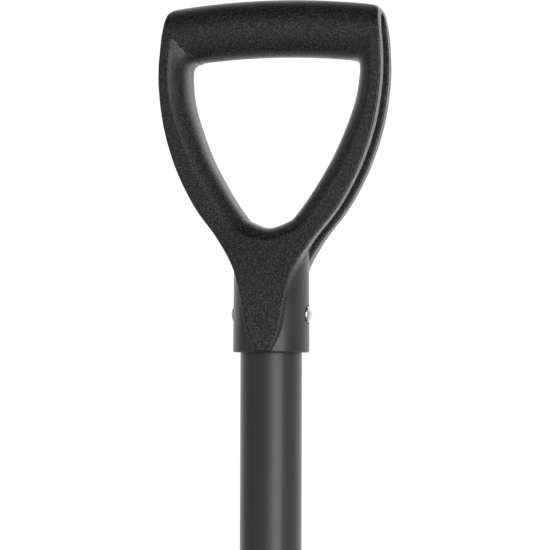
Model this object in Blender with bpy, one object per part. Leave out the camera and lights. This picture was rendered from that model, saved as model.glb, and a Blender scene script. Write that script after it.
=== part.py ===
"""Round point shovel: D-grip, tubular shaft, riveted socket and pressed steel blade.

Everything is modelled about the shaft. Its axis is the local Z axis, and local Z = 0 is
the lower edge of the grip's socket. An empty carries all the pieces, and its place puts
the middle of the grip's crossbar, where the hand holds it, at the world origin.
The front, where the blade is hollow, faces -Y. All lengths are in metres.
"""

import math

import bmesh
import bpy
from mathutils import Matrix, Vector

GAP = 0.0003                  # left between pieces that touch

# Grip
GRIP_HEIGHT = 0.2053          # lower edge of the socket to the top of the crossbar
GRIP_HALF_DEPTH = 0.0168      # of the arms, front to back
CROSSBAR_RADIUS = 0.0168
CROSSBAR_ARCH = 0.430         # radius of the crossbar's arched axis
RAKE = math.radians(4.0)      # how far the ring leans back from the shaft
RAKE_START = 0.062            # height where the lean starts
CREASE_STEP = 0.0018          # the arms' round inner side starts this far behind their faces
INNER_APEX = 0.0040           # the arms' innermost line lies this far behind their middle
INNER_APEX_Z = 0.160          # at this height,
INNER_LEAN = 0.07             # and leans back by this much more than the ring
CHANNEL_HALF_WIDTH = 0.0082   # of the channel along the outside of each arm
CHANNEL_TOP = 0.0120          # how far it reaches above the axis of the crossbar's ends
WEB = 0.0052                  # thickness between that channel and the hand hole
WEB_TOP = (0.0535, 0.230)     # above the hand hole, the web runs up through this point

# Right half of the ring's outside, from the shield's foot up to the crossbar: x and z
OUTSIDE = [(0.0048, 0.0008), (0.0098, 0.013), (0.0128, 0.030), (0.0179, 0.048), (0.0281, 0.065),
           (0.0413, 0.082), (0.0514, 0.100), (0.0582, 0.117), (0.0628, 0.134),
           (0.0654, 0.152), (0.0659, 0.166), (0.0649, 0.180), (0.0635, 0.193)]
TOP_CORNER = [(0.0627, 0.1976), (0.0608, 0.2002)]

# Right half of the hand hole, from its lowest point up to its upper corner
HOLE_SIDE = [(0.0, 0.0717), (0.0111, 0.0752), (0.0161, 0.0794), (0.0256, 0.093),
             (0.0369, 0.113), (0.0455, 0.134), (0.0495, 0.148), (0.0511, 0.161)]
HOLE_CORNER = [(0.0508, 0.1660), (0.0490, 0.1683)]
CREASE_OFFSET = 0.0086        # from the hole's side to the crease beside the flat face
CREASE_FOOT_OFFSET = 0.0066   # the same, below the hole
CREASE_BEND = (0.0590, 0.172)
CREASE_TOP_X = 0.0576         # where the crease meets the crossbar's axis
CREASE_SPREAD = 1.15          # above the hole, the crease's points lie this much wider
HOLE_TOP = [0.044, 0.033, 0.022, 0.011, 0.0]    # x of the points along the hole's top
BLOCK_HALF_WIDTH = 0.080      # of the blocks that the ring is cut from, wider than the grip
BLOCK_HALF_DEPTH = 0.060

# Grip socket
SOCKET_RADIUS = 0.0221
SOCKET_TOP_RADIUS = 0.0216
SOCKET_EDGE = 0.0010          # rounding of the lower edge
SOCKET_HEIGHT = 0.060         # up to the dome
DOME_HEIGHT = 0.009
SOCKET_INSET = 0.0005         # the socket's upper end lies this far below the arms' faces
SHIELD_DEPTH = 0.0230         # shaft axis to the shield's face
SHIELD_FALL = [(0.034, 0.0230), (0.045, 0.0218), (0.055, 0.0196), (0.064, 0.0180), (0.073, 0.0171)]
BORE_DEPTH = 0.056

# Screws
SCREW_HEIGHT = 0.022
SCREW_HEAD_RADIUS = 0.00445
SCREW_HEAD_HEIGHT = 0.0026
SCREW_SHANK_RADIUS = 0.0021
SCREW_LENGTH = 0.014
SCREW_SEAT = 0.0209           # shaft axis to the flat that the head sits on
SCREW_SEAT_RADIUS = 0.0054

# Shaft
SHAFT_RADIUS = 0.0178
SHAFT_WALL = 0.0016
SHAFT_TOP = 0.0555
SHAFT_FOOT = -0.556
CORE_LENGTH = 0.175

# Blade and steel socket
SHEET = 0.0020
BLADE_TIP = -0.8605
TREAD_HEIGHT = -0.5705        # upper faces of the foot treads
BLADE_HALF_WIDTH = 0.111
TREAD_WIDTH = 0.0165
TREAD_INNER = 0.029
TREAD_OUTER = 0.1035
DISH = 0.021                  # how far the blade's sides stand forward of its middle
LEAN_TOP = 0.09               # slope of the blade's middle at the treads
LEAN_MORE = 0.13              # and what is added to it by the tip
FROG_RADIUS = 0.0209          # middle of the sheet, where the frog meets the socket
FROG_LENGTH = 0.165
STEEL_SOCKET_TOP = -0.3905
STEEL_SOCKET_MOUTH = 0.0181   # inner radius
RIVET_HEIGHTS = {"socket_rivet_upper": -0.434, "socket_rivet_lower": -0.512}
RIVET_RADIUS = 0.0029
RIVET_HEAD_RADIUS = 0.0062
RIVET_HEAD_HEIGHT = 0.0026
FERRULE_LENGTH = 0.024
FERRULE_WALL = 0.0018


# ---------------------------------------------------------------- helpers

def clear_scene():
    for item in list(bpy.data.objects):
        bpy.data.objects.remove(item, do_unlink=True)


def make_material(name, colour, roughness, metallic):
    material = bpy.data.materials.new(name)
    material.use_nodes = True
    shader = material.node_tree.nodes["Principled BSDF"]
    shader.inputs["Base Color"].default_value = (*colour, 1.0)
    shader.inputs["Roughness"].default_value = roughness
    shader.inputs["Metallic"].default_value = metallic
    return material


def smooth_curve(knots, steps):
    """Catmull-Rom curve through 2D knots, with the given number of steps per span."""
    first = (2 * knots[0][0] - knots[1][0], 2 * knots[0][1] - knots[1][1])
    last = (2 * knots[-1][0] - knots[-2][0], 2 * knots[-1][1] - knots[-2][1])
    padded = [Vector(first)] + [Vector(knot) for knot in knots] + [Vector(last)]
    points = []
    for a, b, c, d in zip(padded, padded[1:], padded[2:], padded[3:]):
        for step in range(steps):
            t = step / steps
            points.append(0.5 * (2 * b + (c - a) * t + (2 * a - 5 * b + 4 * c - d) * t ** 2
                                 + (3 * b - a - 3 * c + d) * t ** 3))
    points.append(Vector(knots[-1]))
    return points


def loft(name, rings, root, closed_ends=True):
    """One closed solid through rings that have the same number of points."""
    mesh = bpy.data.meshes.new(name)
    shape = bmesh.new()
    rows = [[shape.verts.new(point) for point in ring] for ring in rings]
    count = len(rings[0])
    for lower, upper in zip(rows, rows[1:]):
        for i in range(count):
            j = (i + 1) % count
            shape.faces.new((lower[i], lower[j], upper[j], upper[i]))
    if closed_ends:
        shape.faces.new(rows[0])
        shape.faces.new(rows[-1])
    bmesh.ops.recalc_face_normals(shape, faces=shape.faces)
    shape.to_mesh(mesh)
    shape.free()
    return add_object(name, mesh, root)


def add_object(name, mesh, root):
    item = bpy.data.objects.new(name, mesh)
    bpy.context.scene.collection.objects.link(item)
    item.parent = root
    return item


def finish(item, material, sharp=35):
    """Give a piece its material, and round shading between its sharp edges."""
    item.data.materials.append(material)
    item.data.shade_smooth()
    item.data.set_sharp_from_angle(angle=math.radians(sharp))


def combine(target, tool, operation):
    modifier = target.modifiers.new(tool.name, "BOOLEAN")
    modifier.operation = operation
    modifier.solver = "EXACT"
    modifier.object = tool
    tool.hide_render = True
    tool.display_type = "WIRE"


def prism(name, outline, low, high, root):
    """An outline of (x, z) points, extruded from y = low to y = high."""
    return loft(name, [[(x, y, z) for x, z in outline] for y in (low, high)], root)


def turned(name, profile, root, segments=40, axis="Z"):
    """A profile of (radius, height) points turned about the axis. Its ends are flat."""
    turn = Matrix.Rotation(math.radians(90), 3, "Y") if axis == "X" else Matrix.Identity(3)
    if axis == "Y":
        turn = Matrix.Rotation(math.radians(-90), 3, "X")
    rings = []
    for radius, height in profile:
        angles = [math.tau * i / segments for i in range(segments)]
        rings.append([turn @ Vector((radius * math.cos(a), radius * math.sin(a), height))
                      for a in angles])
    return loft(name, rings, root)


def tube(name, outer, inner, root, segments=48):
    """A turned tube. Both profiles are (radius, height) points from the lower end up."""
    body = list(outer) + list(reversed(inner))
    rings = []
    for radius, height in body:
        angles = [math.tau * i / segments for i in range(segments)]
        rings.append([(radius * math.cos(a), radius * math.sin(a), height) for a in angles])
    rings.append(rings[0])
    item = loft(name, rings, root, closed_ends=False)
    shape = bmesh.new()
    shape.from_mesh(item.data)
    bmesh.ops.remove_doubles(shape, verts=shape.verts, dist=1e-6)
    bmesh.ops.recalc_face_normals(shape, faces=shape.faces)
    shape.to_mesh(item.data)
    shape.free()
    return item


# ---------------------------------------------------------------- grip

def lean(z):
    """How far the ring's middle plane lies behind the shaft's axis at a height."""
    return max(0.0, z - RAKE_START) * math.tan(RAKE)


def crossbar_axis(x):
    """Height of the crossbar's axis at a distance from the middle."""
    middle = GRIP_HEIGHT - CROSSBAR_RADIUS
    return middle - x * x / (2 * CROSSBAR_ARCH)


def mirrored(half):
    """A closed outline from its right half, which runs from the bottom to the top."""
    left = [Vector((-point[0], point[1])) for point in reversed(half) if abs(point[0]) > 1e-6]
    return list(half) + left


def ring_outline():
    side = smooth_curve(OUTSIDE, 2)
    corner = [Vector(point) for point in TOP_CORNER]
    top_edge = []
    for x in (0.0578, 0.042, 0.028, 0.014, 0.0):
        top_edge.append(Vector((x, crossbar_axis(x) + CROSSBAR_RADIUS)))
    return mirrored(side + corner + top_edge)


def hole_half():
    """Right half of the hand hole, and the crease that belongs to each of its points."""
    steps = 3
    across_middle = (-HOLE_SIDE[1][0], HOLE_SIDE[1][1])
    side = smooth_curve([across_middle] + HOLE_SIDE, steps)[steps:]
    hole = list(side)
    crease = []
    for i, point in enumerate(side):
        before = side[max(i - 1, 0)]
        after = side[min(i + 1, len(side) - 1)]
        along = (after - before).normalized()
        outward = Vector((along.y, -along.x)) if i else Vector((0.0, -1.0))
        offset = CREASE_OFFSET + (CREASE_FOOT_OFFSET - CREASE_OFFSET) * outward.y ** 2
        crease.append(point + outward * offset)
    hole += [Vector(point) for point in HOLE_CORNER]
    crease += [Vector(CREASE_BEND), Vector((CREASE_TOP_X, crossbar_axis(CREASE_TOP_X)))]
    for x in HOLE_TOP:
        hole.append(Vector((x, crossbar_axis(x) - CROSSBAR_RADIUS)))
        above = x * CREASE_SPREAD
        crease.append(Vector((above, crossbar_axis(above))))
    return hole, crease


def hole_cutter(root):
    """Cuts the hand hole, and leaves the arms' inner sides round."""
    hole, crease = (mirrored(half) for half in hole_half())
    face = GRIP_HALF_DEPTH - CREASE_STEP
    shares = [-1.0, -0.96, -0.85, -0.68, -0.46, -0.22, 0.0, 0.22, 0.46, 0.68, 0.85, 0.96, 1.0]
    rings = []
    for share in [-2.0] + shares + [2.0]:
        inset = 1 - math.sqrt(1 - min(1.0, share * share))
        ring = []
        for h, c in zip(hole, crease):
            point = h + (c - h) * inset
            apex = INNER_APEX + INNER_LEAN * (point.y - INNER_APEX_Z)
            depth = apex + share * (face - apex if share > 0 else face + apex)
            ring.append((point.x, depth + lean(point.y), point.y))
        rings.append(ring)
    return loft("hole_cutter", rings, root)


def faced_block(name, inset, root):
    """A block with both of the grip's faces, as they are seen from the side."""
    end_axis = crossbar_axis(OUTSIDE[-1][0])
    levels = [(-0.005, SHIELD_DEPTH)] + SHIELD_FALL
    levels += [(0.082, GRIP_HALF_DEPTH), (end_axis - 0.0010, GRIP_HALF_DEPTH)]
    front = [(lean(z) - depth + inset, z) for z, depth in levels]
    back = [(lean(z) + depth - inset, z) for z, depth in levels]
    inside_bar = CROSSBAR_RADIUS - 0.0007 - inset
    arc = []
    for step in range(9):
        angle = math.pi * step / 8
        y = -inside_bar * math.cos(angle)
        arc.append((y + lean(end_axis), end_axis + inside_bar * math.sin(angle)))
    outline = front + arc + list(reversed(back))
    return long_block(name, outline, root)


def long_block(name, outline, root):
    """An outline of (y, z) points, extruded from left to right beyond the grip."""
    ends = (-BLOCK_HALF_WIDTH, BLOCK_HALF_WIDTH)
    return loft(name, [[(x, y, z) for y, z in outline] for x in ends], root)


def channel_cutter(root):
    """Cuts the channels along the outside of both arms, up into the crossbar's ends."""
    end_axis = crossbar_axis(OUTSIDE[-1][0])
    low = -0.010
    outline = [(-CHANNEL_HALF_WIDTH, low), (-CHANNEL_HALF_WIDTH, RAKE_START)]
    for step in range(11):
        angle = math.pi * step / 10
        y = -CHANNEL_HALF_WIDTH * math.cos(angle)
        outline.append((y + lean(end_axis), end_axis + CHANNEL_TOP * math.sin(angle)))
    outline += [(CHANNEL_HALF_WIDTH, RAKE_START), (CHANNEL_HALF_WIDTH, low)]
    cutter = long_block("channel_cutter", outline, root)

    hole, crease = hole_half()
    side_count = len(hole) - len(HOLE_TOP)
    web = [h + (c - h).normalized() * WEB for h, c in zip(hole, crease)][:side_count - 1]
    web.append(Vector(WEB_TOP))
    keep = prism("web_core", mirrored(web), -BLOCK_HALF_DEPTH, BLOCK_HALF_DEPTH, root)
    combine(cutter, keep, "DIFFERENCE")
    return cutter


def crossbar(root):
    stations = 20
    half_length = 0.075
    segments = 36
    rings = []
    for i in range(stations + 1):
        x = half_length * (2 * i / stations - 1)
        slope = math.atan(-x / CROSSBAR_ARCH)
        centre = Vector((x, lean(crossbar_axis(0.0)), crossbar_axis(x)))
        ring = []
        for j in range(segments):
            angle = math.tau * j / segments
            across = CROSSBAR_RADIUS * math.cos(angle)
            up = CROSSBAR_RADIUS * math.sin(angle)
            ring.append(centre + Vector((-up * math.sin(slope), across, up * math.cos(slope))))
        rings.append(ring)
    return loft("crossbar", rings, root)


def grip_socket(root):
    """The round socket. Its domed upper end stays below the faces of the arms."""
    profile = [(SOCKET_RADIUS - 0.8 * SOCKET_EDGE, 0.0), (SOCKET_RADIUS, SOCKET_EDGE),
               (SOCKET_TOP_RADIUS, SOCKET_HEIGHT)]
    for step in range(1, 6):
        angle = math.radians(84) * step / 5
        height = SOCKET_HEIGHT + DOME_HEIGHT * math.sin(angle)
        profile.append((SOCKET_TOP_RADIUS * math.cos(angle), height))
    socket = turned("grip_socket", profile, root, segments=64)
    combine(socket, faced_block("socket_limit", SOCKET_INSET, root), "INTERSECT")
    return socket


def make_grip(root):
    grip = faced_block("d_grip", 0.0, root)
    combine(grip, hole_cutter(root), "DIFFERENCE")
    combine(grip, crossbar(root), "UNION")
    outline = prism("ring_outline", ring_outline(), -BLOCK_HALF_DEPTH, BLOCK_HALF_DEPTH, root)
    combine(grip, outline, "INTERSECT")
    combine(grip, channel_cutter(root), "DIFFERENCE")
    combine(grip, grip_socket(root), "UNION")
    bore_radius = SHAFT_RADIUS + GAP
    bore = turned("grip_bore", [(bore_radius, -0.010), (bore_radius, BORE_DEPTH)], root, 48)
    combine(grip, bore, "DIFFERENCE")
    for side in (-1, 1):
        name = "left" if side < 0 else "right"
        hole = SCREW_SHANK_RADIUS + GAP
        steps = [(hole, side * 0.010), (hole, side * SCREW_SEAT), (SCREW_SEAT_RADIUS, side * SCREW_SEAT),
                 (SCREW_SEAT_RADIUS, side * 0.030)]
        cutter = turned("screw_seat_" + name, steps, root, 24, "X")
        cutter.location.z = SCREW_HEIGHT
        combine(grip, cutter, "DIFFERENCE")
    finish(grip, make_material("grip_plastic", (0.020, 0.020, 0.021), 0.55, 0.0))
    return grip


# ---------------------------------------------------------------- screws

def make_screw(name, side, root, material):
    """A pan head screw with a cross recess, pointing at the shaft's axis."""
    under = SCREW_SEAT + GAP
    tip = under - SCREW_LENGTH
    profile = [(0.0006, tip), (SCREW_SHANK_RADIUS, tip + 0.004), (SCREW_SHANK_RADIUS, under),
               (SCREW_HEAD_RADIUS, under), (SCREW_HEAD_RADIUS, under + 0.0012)]
    for step in range(1, 5):
        angle = math.radians(20 * step)
        profile.append((SCREW_HEAD_RADIUS * math.cos(angle),
                        under + 0.0012 + (SCREW_HEAD_HEIGHT - 0.0012) * math.sin(angle)))
    screw = turned(name, [(radius, side * height) for radius, height in profile], root, 28, "X")
    screw.location.z = SCREW_HEIGHT
    for direction in ("upright", "level"):
        half = (0.0004, 0.0020) if direction == "upright" else (0.0020, 0.0004)
        low, high = under + SCREW_HEAD_HEIGHT - 0.0013, under + 0.004
        rings = [[(side * x, y, z) for y, z in ((-half[0], -half[1]), (half[0], -half[1]),
                                                (half[0], half[1]), (-half[0], half[1]))]
                 for x in (low, high)]
        slot = loft(name + "_slot_" + direction, rings, root)
        slot.location.z = SCREW_HEIGHT
        combine(screw, slot, "DIFFERENCE")
    finish(screw, material)
    return screw


# ---------------------------------------------------------------- shaft

def drill(item, radius, height, axis, root):
    """Cut a round hole straight through a piece, across the shaft."""
    name = "{}_hole_{:.0f}".format(item.name, -1000 * height)
    cutter = turned(name, [(radius, -0.040), (radius, 0.040)], root, 24, axis)
    cutter.location.z = height
    combine(item, cutter, "DIFFERENCE")


def drill_for_rivets(item, root):
    for height in RIVET_HEIGHTS.values():
        drill(item, RIVET_RADIUS + GAP, height, "Y", root)


def make_shaft(root):
    outer = [(SHAFT_RADIUS, SHAFT_FOOT), (SHAFT_RADIUS, SHAFT_TOP)]
    inner = [(SHAFT_RADIUS - SHAFT_WALL, SHAFT_FOOT), (SHAFT_RADIUS - SHAFT_WALL, SHAFT_TOP)]
    shaft = tube("shaft", outer, inner, root)
    drill(shaft, SCREW_SHANK_RADIUS + GAP, SCREW_HEIGHT, "X", root)
    drill_for_rivets(shaft, root)
    finish(shaft, make_material("shaft_coating", (0.055, 0.058, 0.062), 0.38, 0.25))
    return shaft


def make_core(root):
    radius = SHAFT_RADIUS - SHAFT_WALL - GAP
    low, high = SHAFT_FOOT + 0.001, SHAFT_FOOT + CORE_LENGTH
    bevel = 0.002
    profile = [(radius - bevel, low), (radius, low + bevel), (radius, high - bevel), (radius - bevel, high)]
    core = turned("shaft_core", profile, root, 40)
    drill_for_rivets(core, root)
    finish(core, make_material("core_wood", (0.45, 0.31, 0.18), 0.75, 0.0))
    return core


# ---------------------------------------------------------------- steel socket

def socket_outer_radius(z):
    """Outer radius of the steel socket, which widens a little towards the blade."""
    share = (STEEL_SOCKET_TOP - z) / (STEEL_SOCKET_TOP - TREAD_HEIGHT)
    foot = FROG_RADIUS + SHEET / 2
    mouth = STEEL_SOCKET_MOUTH + SHEET
    return mouth + (foot - mouth) * share


def make_socket(root, material):
    levels = [TREAD_HEIGHT + GAP, -0.530, -0.460, STEEL_SOCKET_TOP]
    outer = [(socket_outer_radius(z), z) for z in levels]
    inner = [(socket_outer_radius(z) - SHEET, z) for z in levels]
    socket = tube("socket", outer, inner, root)
    drill_for_rivets(socket, root)
    finish(socket, material)
    return socket


def make_ferrule(root, material):
    """The ring around the socket's mouth, with a lip over its edge."""
    top = STEEL_SOCKET_TOP + GAP + FERRULE_WALL
    foot = STEEL_SOCKET_TOP - FERRULE_LENGTH
    inside = socket_outer_radius(foot) + GAP
    outside = inside + FERRULE_WALL
    lip = SHAFT_RADIUS + GAP
    outer = [(outside - 0.0006, foot), (outside, foot + 0.0006), (outside, top - 0.0010),
             (outside - 0.0010, top)]
    inner = [(inside, foot), (inside, STEEL_SOCKET_TOP + GAP), (lip, STEEL_SOCKET_TOP + GAP), (lip, top)]
    ferrule = tube("socket_ferrule", outer, inner, root)
    finish(ferrule, material)
    return ferrule


def make_rivet(name, height, root, material):
    """A solid rivet from front to back, with a domed head on each side."""
    seat = socket_outer_radius(height) + GAP
    dome = []
    for step in range(5):
        angle = math.radians(20 * step)
        dome.append((RIVET_HEAD_RADIUS * math.cos(angle), seat + RIVET_HEAD_HEIGHT * math.sin(angle)))
    half = [(RIVET_RADIUS, seat)] + dome
    profile = [(radius, -y) for radius, y in reversed(half)] + half
    rivet = turned(name, profile, root, 28, "Y")
    rivet.location.z = height
    finish(rivet, material)
    return rivet


# ---------------------------------------------------------------- blade

def blade_share(z):
    """0 at the treads, 1 at the tip."""
    return (TREAD_HEIGHT - z) / (TREAD_HEIGHT - BLADE_TIP)


def blade_middle(z):
    """How far the blade's middle has moved to the front at a height."""
    t = max(0.0, blade_share(z))
    return -(TREAD_HEIGHT - BLADE_TIP) * (LEAN_TOP * t + LEAN_MORE / 2 * t * t)


def dished(x, z):
    """y of the blade's sheet, without the frog."""
    t = max(0.0, min(1.0, blade_share(z) / 0.40))
    depth = DISH * t * t * (3 - 2 * t)
    return blade_middle(z) - depth * (x / BLADE_HALF_WIDTH) ** 2


def frog_section():
    """Right half of the frog's section: a quarter circle of radius 1 and its fillet."""
    fillet = 0.30
    centre = math.sqrt((1 + fillet) ** 2 - fillet ** 2)
    contact = math.atan2(centre, fillet)
    arc = [(math.sin(contact * i / 8), math.cos(contact * i / 8)) for i in range(9)]
    for i in range(1, 5):
        angle = contact * (1 - i / 4)
        arc.append((centre - fillet * math.sin(angle), fillet - fillet * math.cos(angle)))
    return arc


def frog_size(z):
    """Half-width and height of the frog at a height."""
    t = max(0.0, min(1.0, (TREAD_HEIGHT - z) / FROG_LENGTH))
    fade = 1 - t * t * (3 - 2 * t)
    return FROG_RADIUS * (0.42 + 0.58 * fade), FROG_RADIUS * fade


def sheet_rows(top, bottom, row_count, half_width, side, lift):
    """Rows of points over a bumped sheet. The bump stands to the front (-1) or back (1)."""
    section = frog_section()
    rows = []
    drop = (top - bottom) / (row_count - 1)
    levels = [top - drop * i for i in range(row_count)]
    for z in levels:
        width, height = frog_size(z)
        half = []
        for across, out in section:
            x = across * width
            half.append(Vector((x, dished(x, z) + lift + side * out * height, z)))
        base = section[-1][0] * width
        edge = half_width(z)
        outer_steps = 7 if edge > 0.050 else 2
        for i in range(1, outer_steps + 1):
            x = base + (edge - base) * i / outer_steps
            half.append(Vector((x, dished(x, z) + lift, z)))
        left = [Vector((-p.x, p.y, p.z)) for p in reversed(half[1:])]
        rows.append(left + half)
    return rows


def sheet_solid(name, rows, root):
    """A sheet through rows of points, as thick as the steel."""
    mesh = bpy.data.meshes.new(name)
    shape = bmesh.new()
    grid = [[shape.verts.new(point) for point in row] for row in rows]
    for upper, lower in zip(grid, grid[1:]):
        for i in range(len(upper) - 1):
            shape.faces.new((upper[i], upper[i + 1], lower[i + 1], lower[i]))
    shape.to_mesh(mesh)
    shape.free()
    item = add_object(name, mesh, root)
    thickness = item.modifiers.new("thickness", "SOLIDIFY")
    thickness.thickness = SHEET
    thickness.offset = 0.0
    thickness.use_even_offset = True
    return item


def blade_outline():
    """From the round point, up the side, to the shoulder and the treads."""
    side = [(0.0, 0.0), (0.010, 0.0012), (0.022, 0.0085), (0.046, 0.036), (0.079, 0.093),
            (0.100, 0.160), (0.109, 0.220), (BLADE_HALF_WIDTH, 0.262), (0.1085, 0.281)]
    curve = smooth_curve([(x, BLADE_TIP + z) for x, z in side], 4)
    shoulder = [Vector((TREAD_OUTER, TREAD_HEIGHT)), Vector((0.0, TREAD_HEIGHT))]
    return mirrored(curve + shoulder)


def make_tread(side, root):
    """The turned step: a plate to the front at the top of one shoulder."""
    top = TREAD_HEIGHT
    y_front, y_back = -TREAD_WIDTH, SHEET / 2
    ends = [(side * TREAD_INNER, 0.004), (side * (TREAD_INNER + 0.006), 0.0),
            (side * (TREAD_OUTER - 0.006), 0.0), (side * TREAD_OUTER, 0.004)]
    front = [(x, y_front + inset) for x, inset in ends]
    plan = front + [(side * TREAD_OUTER, y_back), (side * TREAD_INNER, y_back)]
    name = "tread_left" if side < 0 else "tread_right"
    return loft(name, [[(x, y, z) for x, y in plan] for z in (top - SHEET, top)], root)


def make_blade(root, material):
    rows = sheet_rows(TREAD_HEIGHT + 0.003, BLADE_TIP - 0.004, 27, lambda z: 0.118, -1, 0.0)
    blade = sheet_solid("blade", rows, root)
    combine(blade, prism("blade_outline", blade_outline(), -0.200, 0.100, root), "INTERSECT")
    for side in (-1, 1):
        combine(blade, make_tread(side, root), "UNION")
    finish(blade, material)
    return blade


def make_frog_plate(root, material):
    """The plate over the hollow behind the frog, which closes the blade's back."""
    bottom = TREAD_HEIGHT - FROG_LENGTH - 0.010

    def half_width(z):
        share = (TREAD_HEIGHT - z) / (TREAD_HEIGHT - bottom)
        return 0.033 - 0.017 * share

    rows = sheet_rows(TREAD_HEIGHT, bottom, 15, half_width, 1, SHEET + GAP)
    plate = sheet_solid("frog_plate", rows, root)
    finish(plate, material)
    return plate


# ---------------------------------------------------------------- assembly

def main():
    clear_scene()
    root = bpy.data.objects.new("shaft_axis", None)
    bpy.context.scene.collection.objects.link(root)
    hold = crossbar_axis(0.0)
    root.location = (0.0, -lean(hold), -hold)

    zinc = make_material("screw_zinc", (0.62, 0.64, 0.68), 0.30, 1.0)
    rivet_steel = make_material("rivet_steel", (0.42, 0.43, 0.44), 0.38, 1.0)
    black_steel = make_material("black_steel", (0.030, 0.031, 0.033), 0.42, 0.20)
    ferrule_steel = make_material("ferrule_steel", (0.022, 0.022, 0.024), 0.48, 0.10)

    make_grip(root)
    make_screw("grip_screw_left", -1, root, zinc)
    make_screw("grip_screw_right", 1, root, zinc)
    make_shaft(root)
    make_core(root)
    make_socket(root, black_steel)
    make_ferrule(root, ferrule_steel)
    for name, height in RIVET_HEIGHTS.items():
        make_rivet(name, height, root, rivet_steel)
    make_blade(root, black_steel)
    make_frog_plate(root, black_steel)


main()
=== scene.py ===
"""Looks of the round point shovel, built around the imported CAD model.

Lengths are in metres. Local pieces are worked out about the shaft: its axis is the Z axis,
and Z = 0 is the lower edge of the grip. The front, where the blade is hollow, faces -Y.
"""

import math

import bmesh
import bpy
import numpy as np
from mathutils import Matrix, Vector


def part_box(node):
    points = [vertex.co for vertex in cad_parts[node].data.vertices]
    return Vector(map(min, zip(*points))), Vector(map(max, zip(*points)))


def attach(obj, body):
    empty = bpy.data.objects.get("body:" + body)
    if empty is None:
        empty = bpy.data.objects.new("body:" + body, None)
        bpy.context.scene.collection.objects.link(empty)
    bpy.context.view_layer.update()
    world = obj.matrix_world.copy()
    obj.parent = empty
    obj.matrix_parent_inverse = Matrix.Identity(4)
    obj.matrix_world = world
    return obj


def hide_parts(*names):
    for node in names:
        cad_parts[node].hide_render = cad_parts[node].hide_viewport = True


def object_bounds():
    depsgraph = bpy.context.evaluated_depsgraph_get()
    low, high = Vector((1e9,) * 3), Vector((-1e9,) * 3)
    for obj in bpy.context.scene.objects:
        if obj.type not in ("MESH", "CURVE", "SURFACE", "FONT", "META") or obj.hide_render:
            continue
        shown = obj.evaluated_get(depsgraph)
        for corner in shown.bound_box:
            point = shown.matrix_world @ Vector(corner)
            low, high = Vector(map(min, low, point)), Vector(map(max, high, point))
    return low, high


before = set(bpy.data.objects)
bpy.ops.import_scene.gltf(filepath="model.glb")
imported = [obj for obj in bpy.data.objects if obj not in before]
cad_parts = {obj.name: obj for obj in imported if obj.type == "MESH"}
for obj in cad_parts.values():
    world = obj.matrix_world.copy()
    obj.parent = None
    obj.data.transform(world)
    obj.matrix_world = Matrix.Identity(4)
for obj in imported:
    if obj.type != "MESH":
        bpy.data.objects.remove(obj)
CAD_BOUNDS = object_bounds()

# ---------------------------------------------------------------- where things are

SHAFT_BOX = [Vector(corner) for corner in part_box("shaft")]
GRIP_BOX = [Vector(corner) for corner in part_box("d_grip")]
SHAFT_CENTRE = (SHAFT_BOX[0] + SHAFT_BOX[1]) / 2
ORIGIN = Vector((SHAFT_CENTRE.x, SHAFT_CENTRE.y, GRIP_BOX[0].z))

# Crossbar and the whole grip. Its middle plane leans back above RAKE_START.
GRIP_HEIGHT = GRIP_BOX[1].z - GRIP_BOX[0].z
HALF_DEPTH = 0.0168
BAR_RADIUS = 0.0168
BAR_ARCH = 0.430
BAR_HALF_LENGTH = 0.0575
BAR_END_SLOPE = 1.6
RAKE = math.radians(4.0)
RAKE_START = 0.062
RAKE_BEND = 0.012
# Outlines, as (x, z) points of the right half from the bottom up.
OUTSIDE = [(0.0048, 0.0008), (0.0098, 0.013), (0.0128, 0.030), (0.0179, 0.048), (0.0281, 0.065),
           (0.0413, 0.082), (0.0514, 0.100), (0.0582, 0.117), (0.0628, 0.134),
           (0.0654, 0.152), (0.0659, 0.166), (0.0649, 0.180), (0.0635, 0.193)]
TOP_CORNER = [(0.0627, 0.1976), (0.0608, 0.2002)]
HOLE_SIDE = [(-0.0111, 0.0752), (0.0, 0.0717), (0.0111, 0.0752), (0.0161, 0.0794), (0.0256, 0.093),
             (0.0369, 0.113), (0.0455, 0.134), (0.0495, 0.148), (0.0511, 0.161)]
HOLE_CORNER = [(0.0508, 0.1660), (0.0490, 0.1683)]
HOLE_TOP_HALF_LENGTH = 0.046
CREASE_OFFSET = 0.0086
CREASE_FOOT_OFFSET = 0.0066
CREASE_CORNER = [(0.0592, 0.170), (0.0584, 0.178), (0.0574, 0.1835), (0.0545, 0.1853)]
CREASE_TOP_HALF_LENGTH = 0.050
# The arms' inner side, from the crease to the hand hole, and their ends at the crossbar.
CREASE_ROUND = 0.0013
CREASE_DIP = 0.14
CREASE_DIP_WIDTH = 0.12
INNER_POWER = 3.8
INNER_LEAST_WIDTH = 0.003
MITRE = [(0.0576, 0.1832), (0.0478, 0.1710)]
ARM_END_DROP = 0.004
ARM_END_SQUASH = 1.06
ARM_UNDER_BAR = 0.001
ARM_UNDER_BAR_SLOPE = 0.8
INNER_APEX = 0.0040
INNER_APEX_Z = 0.160
INNER_LEAN = 0.07
# The channel along each arm's outer side, and the web that is left inside it.
CHANNEL_HALF_WIDTH = 0.0082
CHANNEL_TOP = 0.0120
CHANNEL_FLOOR_ROUND = 0.0018
CHANNEL_EDGE_ROUND = 0.0008
WEB = 0.0052
WEB_TOP = [(0.0560, 0.175), (0.0545, 0.190), (0.0530, 0.230), (0.0, 0.230)]
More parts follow.
